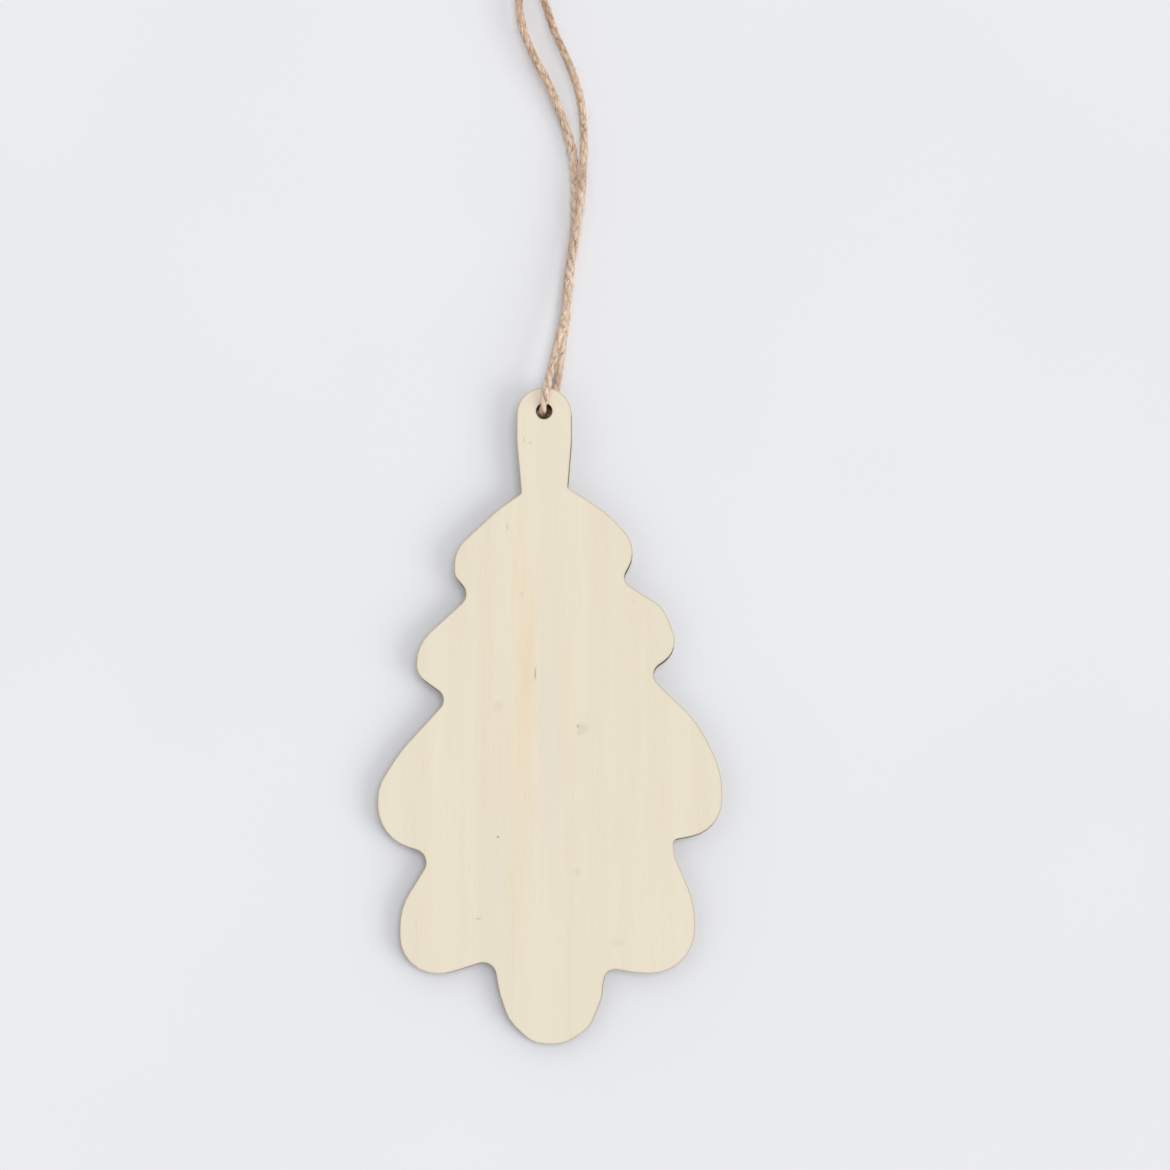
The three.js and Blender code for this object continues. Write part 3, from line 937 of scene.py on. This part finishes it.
def new_material(name):
    """A material with only its shader and its output."""
    material = bpy.data.materials.new(name)
    material.use_nodes = True
    tree = material.node_tree
    tree.nodes.clear()
    shader = tree.nodes.new("ShaderNodeBsdfPrincipled")
    output = tree.nodes.new("ShaderNodeOutputMaterial")
    tree.links.new(shader.outputs[0], output.inputs[0])
    return material, tree, shader


# %% [markdown]
# ## Wood grain
# Basswood is pale and almost without figure. What shows on the real leaf is a faint straight grain
# along its length: broad bands that are hardly darker than the rest, very fine fibres, and scattered
# short pores. One node group makes all three from Object coordinates in metres, with noise that is
# squeezed across the grain and stretched along it. Both outer veneers use it. The core, whose grain
# lies across the leaf, shows only at the burnt wall and needs none.

# %% Build the grain group
BAND_SCALE = (230, 9, 230)  # how fine the noise is in a metre across, along and through the leaf
FIBRE_SCALE = (3200, 70, 3200)
PORE_SCALE = (4300, 420, 4300)

grain, grain_in, grain_out = new_group(
    "straight_grain", {"Vector": "Vector"}, {"Bands": "Float", "Fibres": "Float", "Pores": "Float"}
)
bands = stretched_noise(grain, grain_in["Vector"], BAND_SCALE, 3.0)
fibres = stretched_noise(grain, grain_in["Vector"], FIBRE_SCALE, 4.0, 0.65)
pores = stretched_noise(grain, grain_in["Vector"], PORE_SCALE, 2.0)
grain.links.new(between(grain, bands, 0.3, 0.7), grain_out["Bands"])
grain.links.new(between(grain, fibres, 0.25, 0.75), grain_out["Fibres"])
grain.links.new(between(grain, pores, 0.66, 0.76), grain_out["Pores"])
print("nodes in the grain group:", len(grain.nodes))


# %% [markdown]
# A second group makes one soft-edged spot with a given middle and size. The real leaf has a strong
# warm stripe left of its middle, a few fainter warm and cool ones, smudges and tiny flecks, and each
# is placed one by one with this group. More noise would give stripes too, but not where the real ones
# are.

# %% Build the spot group
spot, spot_in, spot_out = new_group(
    "soft_spot", {"Vector": "Vector", "Middle": "Vector", "Size": "Vector"}, {"Mask": "Float"}
)
from_middle = add(
    spot, "ShaderNodeVectorMath", {0: spot_in["Vector"], 1: spot_in["Middle"]}, operation="SUBTRACT"
)
shrunk = add(
    spot, "ShaderNodeVectorMath", {0: from_middle.outputs[0], 1: spot_in["Size"]}, operation="DIVIDE"
)
apart = add(spot, "ShaderNodeVectorMath", {0: shrunk.outputs[0]}, operation="LENGTH")
spot.links.new(between(spot, apart.outputs["Value"], 1.0, 0.25), spot_out["Mask"])
print("nodes in the spot group:", len(spot.nodes))

SPOT_DEPTH = 1.0  # a spot's size in z, so large that the leaf's tilt doesn't matter


def spot_mask(tree, vector, middle, size, strength):
    """A spot's mask. Middle and size are in millimetres, across and along the leaf."""
    inputs = {
        "Vector": vector,
        "Middle": (middle[0] * MM, middle[1] * MM, 0.0),
        "Size": (size[0] * MM, size[1] * MM, SPOT_DEPTH),
    }
    return sum_up(tree, "MULTIPLY", with_group(tree, spot, inputs)[0], strength)


# %% [markdown]
# ## Laser burn
# The laser leaves the wall of the cut dark brown, with fine upright streaks. A third group makes that
# colour from noise that hardly changes with height, and puts out a height for the streaks as well.
# Veneers, core and glue all use it with their own darkness.

# %% Build the burn group
STREAK_SCALE = (2600, 2600, 60)
PATCH_SCALE = (320, 320, 320)
STREAK_SHARE, PATCH_SHARE = 0.6, 0.4

burn, burn_in, burn_out = new_group(
    "laser_burn",
    {"Vector": "Vector", "Light": "Color", "Dark": "Color"},
    {"Color": "Color", "Height": "Float"},
)
streaks = stretched_noise(burn, burn_in["Vector"], STREAK_SCALE, 3.0, 0.6)
patches = stretched_noise(burn, burn_in["Vector"], PATCH_SCALE, 2.0)
streaks_part = sum_up(burn, "MULTIPLY", streaks, STREAK_SHARE)
burn_share = sum_up(burn, "ADD", streaks_part, sum_up(burn, "MULTIPLY", patches, PATCH_SHARE))
burn_colour = blend(burn, between(burn, burn_share, 0.36, 0.66), burn_in["Dark"], burn_in["Light"])
burn.links.new(burn_colour, burn_out["Color"])
burn.links.new(streaks, burn_out["Height"])
print("nodes in the burn group:", len(burn.nodes))


# %% [markdown]
# ## Finish of the wood's faces
# The face is sanded and left bare, so it is matte. The colours are close together: the bands, fibres
# and pores only just show, the stripes are hardly warmer or cooler than the rest, and the halo beside
# the cut is a pale brown that fades within 0.4 mm. The colours are laid over each other like glazes,
# the grain first and the halo last, so each can be changed alone.

# %% Start the face's finish with the grain
WOOD_PALE, WOOD_BAND = paint(236, 227, 207), paint(232, 222, 200)
FIBRE_COLOUR, FIBRE_SHARE = paint(224, 211, 187), 0.24

wood, tree, shader = new_material("bare_basswood")
place = add(tree, "ShaderNodeTexCoord").outputs["Object"]
figure = with_group(tree, grain, {"Vector": place})
colour = blend(tree, figure["Bands"], WOOD_PALE, WOOD_BAND)
colour = blend(tree, sum_up(tree, "MULTIPLY", figure["Fibres"], FIBRE_SHARE), colour, FIBRE_COLOUR)
print("nodes in the face's finish so far:", len(tree.nodes))

# %% Lay the stripes over it
WARM_COLOUR, COOL_COLOUR = paint(237, 214, 183), paint(226, 222, 206)
STEADY_SHARE = 0.35  # how much of a warm stripe the fibres don't break up
WARM_STRIPES = [
    # middle, size and strength of each stripe
    ((-4.9, -2.0), (3.4, 48.0), 0.26),
    ((-4.3, 12.0), (2.0, 19.0), 0.62),
    ((-5.9, 27.0), (2.1, 14.0), 0.34),
    ((-4.6, -8.0), (2.4, 22.0), 0.24),
    ((-6.5, -33.0), (2.1, 16.0), 0.36),
    ((2.7, 1.8), (1.3, 22.0), 0.26),
    ((26.6, -14.6), (0.7, 4.6), 0.30),
    ((22.9, -13.6), (0.9, 1.6), 0.20),
]
COOL_STRIPES = [
    ((0.0, -6.3), (2.6, 34.0), 0.45),
    ((-9.0, -36.0), (4.5, 22.0), 0.30),
    ((10.0, -9.0), (3.0, 30.0), 0.22),
]
for middle, size, strength in WARM_STRIPES:
    ragged = sum_up(tree, "MULTIPLY", figure["Fibres"], strength)
    mixed = sum_up(tree, "ADD", ragged, strength * STEADY_SHARE)
    colour = blend(tree, spot_mask(tree, place, middle, size, mixed), colour, WARM_COLOUR)
for middle, size, strength in COOL_STRIPES:
    colour = blend(tree, spot_mask(tree, place, middle, size, strength), colour, COOL_COLOUR)
print("stripes on the face:", len(WARM_STRIPES) + len(COOL_STRIPES))

# %% Add the flecks and smudges
MARK_COLOUR = paint(128, 112, 92)
DARK_MARKS = [
    # middle, size and strength of each fleck and smudge
    ((-2.7, 6.6), (0.22, 1.6), 0.50),
    ((5.9, -3.5), (1.7, 1.6), 0.13),
    ((5.1, -3.0), (0.35, 0.45), 0.40),
    ((5.2, -4.4), (0.5, 0.5), 0.16),
    ((-9.4, -23.1), (0.32, 0.32), 0.65),
    ((-12.9, -37.8), (0.8, 0.24), 0.28),
    ((-4.9, 50.1), (0.26, 0.8), 0.20),
    ((-3.7, 49.5), (0.3, 0.45), 0.24),
    ((-7.9, 33.8), (0.32, 1.0), 0.20),
    ((-9.5, 0.6), (1.3, 1.6), 0.08),
    ((12.1, -42.0), (2.0, 1.0), 0.07),
    ((5.1, -29.5), (1.0, 1.2), 0.08),
    ((-5.2, 21.3), (0.5, 0.7), 0.12),
]
for middle, size, strength in DARK_MARKS:
    colour = blend(tree, spot_mask(tree, place, middle, size, strength), colour, MARK_COLOUR)
print("flecks and smudges on the face:", len(DARK_MARKS))

# %% Add the pores and the halo, and set the surface
PORE_COLOUR, PORE_SHARE = paint(206, 189, 162), 0.35
HALO_COLOUR, HALO_FALL = paint(192, 172, 146), 1.3
SMOOTHEST, FIBRE_ROUGHNESS = 0.62, 0.12  # roughness between the fibres, and what they add

colour = blend(tree, sum_up(tree, "MULTIPLY", figure["Pores"], PORE_SHARE), colour, PORE_COLOUR)
scorch = add(tree, "ShaderNodeAttribute", attribute_name="burnt").outputs["Fac"]
colour = blend(tree, sum_up(tree, "POWER", scorch, HALO_FALL), colour, HALO_COLOUR)
tree.links.new(colour, shader.inputs["Base Color"])
rougher = sum_up(tree, "MULTIPLY", figure["Fibres"], FIBRE_ROUGHNESS)
tree.links.new(sum_up(tree, "ADD", rougher, SMOOTHEST), shader.inputs["Roughness"])
relief = sum_up(tree, "SUBTRACT", figure["Fibres"], figure["Pores"])
bump = add(tree, "ShaderNodeBump", {"Strength": 0.25, "Distance": 0.03 * MM, "Height": relief})
tree.links.new(bump.outputs[0], shader.inputs["Normal"])
shader.inputs["Specular IOR Level"].default_value = 0.25
print("nodes in the face's finish:", len(tree.nodes))


# %% [markdown]
# ## Finish of the burnt wall
# The wall is one material for the outer veneers, one for the core and one for the glue. The core is a
# little darker than the veneers, because the laser cuts it across its grain, and the glue has charred
# nearly black, with some gloss left. All three are the same group with their own two browns.

# %% Mix the burnt finishes
STREAK_DEPTH = 0.05 * MM


def burnt_finish(name, light, dark, roughness):
    """The wall of the cut in one of the layers."""
    material, tree, shader = new_material(name)
    place = add(tree, "ShaderNodeTexCoord").outputs["Object"]
    burnt = with_group(tree, burn, {"Vector": place, "Light": light, "Dark": dark})
    tree.links.new(burnt["Color"], shader.inputs["Base Color"])
    height = {"Strength": 0.5, "Distance": STREAK_DEPTH, "Height": burnt["Height"]}
    bump = add(tree, "ShaderNodeBump", height)
    tree.links.new(bump.outputs[0], shader.inputs["Normal"])
    shader.inputs["Roughness"].default_value = roughness
    shader.inputs["Specular IOR Level"].default_value = 0.3
    return material


veneer_wall = burnt_finish("burnt_veneer_wall", paint(104, 80, 60), paint(52, 38, 29), 0.7)
core_wall = burnt_finish("burnt_core_wall", paint(84, 62, 46), paint(40, 29, 22), 0.75)
glue_wall = burnt_finish("burnt_glue", paint(44, 33, 26), paint(20, 15, 12), 0.5)
for piece, face_finish, wall_finish in (
    (front_layer, wood, veneer_wall),
    (back_layer, wood, veneer_wall),
    (core_layer, core_wall, core_wall),
    (glue_layers[0], glue_wall, glue_wall),
    (glue_layers[1], glue_wall, glue_wall),
):
    piece.data.materials.append(face_finish)
    piece.data.materials.append(wall_finish)
    print(piece.name, "finishes:", face_finish.name, "and", wall_finish.name)


# %% [markdown]
# ## Finish of the jute
# Jute is a matte, slightly pink tan. Seen closely it is a bundle of pale and brown fibres, with painted
# shade where the two yarns press together. The noise is read at the places that the corners store, so
# it runs along the fibres. Then come the paler stretch, the pale and the brown flecks, the painted
# shade in the grooves, and the soot from the hole's edge together with painted shade in the hole and
# under the stem's end, whose shares the corners store too. One group mixes the colours, for the yarns
# and for the loose fibres.

# %% Build the jute group
jute, jute_in, jute_out = new_group(
    "jute_fibres",
    {"Fibre": "Vector", "Groove_shade": "Float", "Pale": "Float", "Soot_and_shade": "Float"},
    {"Color": "Color", "Height": "Float"},
)
strands = stretched_noise(jute, jute_in["Fibre"], (4.2, 4.2, 1.1), 4.0, 0.6)
bundles = stretched_noise(jute, jute_in["Fibre"], (1.5, 1.5, 1.5), 3.0, 0.5)
lengths = stretched_noise(jute, jute_in["Fibre"], (0.5, 0.5, 0.7), 2.0)
flecks = stretched_noise(jute, jute_in["Fibre"], (2.6, 2.6, 4.2), 2.0)

JUTE_DARK, JUTE_LIGHT = paint(184, 150, 122), paint(240, 213, 188)
tan = blend(jute, between(jute, strands, 0.32, 0.68), JUTE_DARK, JUTE_LIGHT)
BEFORE_PALE_STRETCH = [
    # noise, where the colour starts and where it is full, its full share, and the colour
    (bundles, 0.46, 0.68, 0.6, paint(176, 138, 107)),
    (bundles, 0.44, 0.28, 0.6, paint(246, 224, 201)),
    (lengths, 0.45, 0.75, 0.4, paint(214, 170, 137)),
]
AFTER_PALE_STRETCH = [
    (flecks, 0.44, 0.34, 0.6, paint(250, 232, 212)),
    (flecks, 0.57, 0.67, 0.75, paint(132, 86, 57)),
]
for pattern, start, full, share, tint in BEFORE_PALE_STRETCH:
    tan = blend(jute, between(jute, pattern, start, full, 0.0, share), tan, tint)
# the twine is lighter along a stretch up the table
PALE_STRETCH_COLOUR, PALE_STRETCH_SHARE = paint(247, 229, 210), 0.42
tan = blend(jute, sum_up(jute, "MULTIPLY", jute_in["Pale"], PALE_STRETCH_SHARE), tan, PALE_STRETCH_COLOUR)
for pattern, start, full, share, tint in AFTER_PALE_STRETCH:
    tan = blend(jute, between(jute, pattern, start, full, 0.0, share), tan, tint)

# painted shade in the grooves, and soot from the hole's burnt edge with painted shade in the hole and
# under the stem's end
GROOVE_SHADE_COLOUR, SOOT_AND_SHADE_COLOUR, SOOT_AND_SHADE_SHARE = paint(124, 84, 57), paint(138, 82, 42), 0.85
patchy_groove_shade = sum_up(jute, "MULTIPLY", jute_in["Groove_shade"], between(jute, flecks, 0.35, 0.6, 0.2, 0.8))
tan = blend(jute, patchy_groove_shade, tan, GROOVE_SHADE_COLOUR)
tan = blend(jute, sum_up(jute, "MULTIPLY", jute_in["Soot_and_shade"], SOOT_AND_SHADE_SHARE), tan, SOOT_AND_SHADE_COLOUR)
jute.links.new(tan, jute_out["Color"])
jute.links.new(strands, jute_out["Height"])
print("nodes in the jute group:", len(jute.nodes))


# %% [markdown]
# The yarns and the loose fibres get a material each, because the relief of a thin fibre has to be much
# lower. A sheen gives both the soft pale edge that hairy yarn has.

# %% Mix the jute's finishes
def jute_finish(name, depth):
    """The jute's colours on a rough surface whose strands stand up by the given depth."""
    material, tree, shader = new_material(name)
    inputs = {"Fibre": add(tree, "ShaderNodeAttribute", attribute_name="fibre").outputs["Vector"]}
    for share in ("groove_shade", "pale", "soot_and_shade"):
        stored = add(tree, "ShaderNodeAttribute", attribute_name=share)
        inputs[share.capitalize()] = stored.outputs["Fac"]
    colours = with_group(tree, jute, inputs)
    tree.links.new(colours["Color"], shader.inputs["Base Color"])
    height = {"Strength": 0.6, "Distance": depth, "Height": colours["Height"]}
    bump = add(tree, "ShaderNodeBump", height)
    tree.links.new(bump.outputs[0], shader.inputs["Normal"])
    shader.inputs["Roughness"].default_value = 0.85
    shader.inputs["Specular IOR Level"].default_value = 0.2
    shader.inputs["Sheen Weight"].default_value = 0.25
    shader.inputs["Sheen Roughness"].default_value = 0.5
    return material


yarn_finish = jute_finish("jute_yarn", 0.06 * MM)
hair_finish = jute_finish("jute_loose_fibre", 0.005 * MM)
for piece, finish in (
    (twine_loop, yarn_finish), (knot, yarn_finish), (loop_fuzz, hair_finish), (knot_fuzz, hair_finish)
):
    piece.data.materials.append(finish)
    print(piece.name, "finish:", finish.name)


# %% [markdown]
# ## Table and light
# The table is plain and slightly cool. The real shadows say where the light comes from: they are
# darkest just left of the leaf, half as dark on its other sides, and gone within 8 mm. So a little over
# half of the light comes evenly from all round, a good quarter falls from nearly straight above, and a
# sixth is a soft lamp from the right, a third of the way up. Area lamps would light the table's middle
# more than its rim. Sun lamps with a wide angle don't, and the sum of all the light is the level at
# which a white surface renders white.

# %% Lay the table
FLOOR_COLOUR, CLOUD_COLOUR = paint(236, 237, 241), paint(234, 235, 239)
FLOOR_SIZE = 12.0  # in metres, so that its edge is out of sight
FLOOR_DROP = 0.03 * MM  # keeps the table and what lies on it from sharing a plane

bpy.ops.mesh.primitive_plane_add(size=FLOOR_SIZE, location=(0, 0, -FLOOR_DROP))
bpy.ops.object.transform_apply(location=True, rotation=False, scale=False)
floor = bpy.context.object
floor.name = "table"
table_finish, tree, shader = new_material("white_table")
cloud = stretched_noise(tree, add(tree, "ShaderNodeTexCoord").outputs["Object"], (9, 9, 9), 2.0)
table_colour = blend(tree, between(tree, cloud, 0.3, 0.7), FLOOR_COLOUR, CLOUD_COLOUR)
tree.links.new(table_colour, shader.inputs["Base Color"])
shader.inputs["Roughness"].default_value = 0.9
shader.inputs["Specular IOR Level"].default_value = 0.0
floor.data.materials.append(table_finish)
print("table's side in metres:", FLOOR_SIZE)

# %% Set the lamps
FULL_LIGHT = math.pi  # light on a flat surface at which it renders in its own colour
AROUND, ABOVE, SIDE = 0.55, 0.28, 0.17  # shares of the light on the table


def sun(name, share, elevation, azimuth, angle):
    """A sun lamp that gives its share of the light on the table. Azimuth 0 is the right, 90 the top."""
    high, around = math.radians(elevation), math.radians(azimuth)
    level = math.cos(high)
    towards = Vector((level * math.cos(around), level * math.sin(around), math.sin(high)))
    bpy.ops.object.light_add(type="SUN", location=towards)
    lamp = bpy.context.object
    lamp.name = name
    lamp.rotation_mode = "QUATERNION"
    lamp.rotation_quaternion = towards.to_track_quat("Z", "Y")
    lamp.data.energy = FULL_LIGHT * share / math.sin(high)
    lamp.data.angle = math.radians(angle)
    print(name, "strength:", round(lamp.data.energy, 2))


sun("lamp_above", ABOVE, elevation=81, azimuth=11, angle=29)
sun("lamp_right", SIDE, elevation=33, azimuth=-24, angle=37)

# %% [markdown]
# The even light is the world's. The camera, and any mirror or glass, must see the table's pale colour
# beyond the table's edge and not this light, so the world mixes two backgrounds by the kind of ray.

# %% Set the even light
world = bpy.data.worlds.new("soft_studio")
bpy.context.scene.world = world
world.use_nodes = True
tree = world.node_tree
tree.nodes.clear()
even_light = add(tree, "ShaderNodeBackground", {"Color": (1, 1, 1, 1), "Strength": AROUND})
seen = add(tree, "ShaderNodeBackground", {"Color": FLOOR_COLOUR, "Strength": 1.0})
ray = add(tree, "ShaderNodeLightPath").outputs
mirrored = sum_up(tree, "MAXIMUM", ray["Is Glossy Ray"], ray["Is Transmission Ray"])
shown = sum_up(tree, "MAXIMUM", ray["Is Camera Ray"], mirrored)
both = add(tree, "ShaderNodeMixShader", {0: shown, 1: even_light.outputs[0], 2: seen.outputs[0]})
add(tree, "ShaderNodeOutputWorld", {0: both.outputs[0]})
bpy.context.scene.view_settings.view_transform = "Standard"
print("light on the table in all, as a share:", round(AROUND + ABOVE + SIDE, 2))
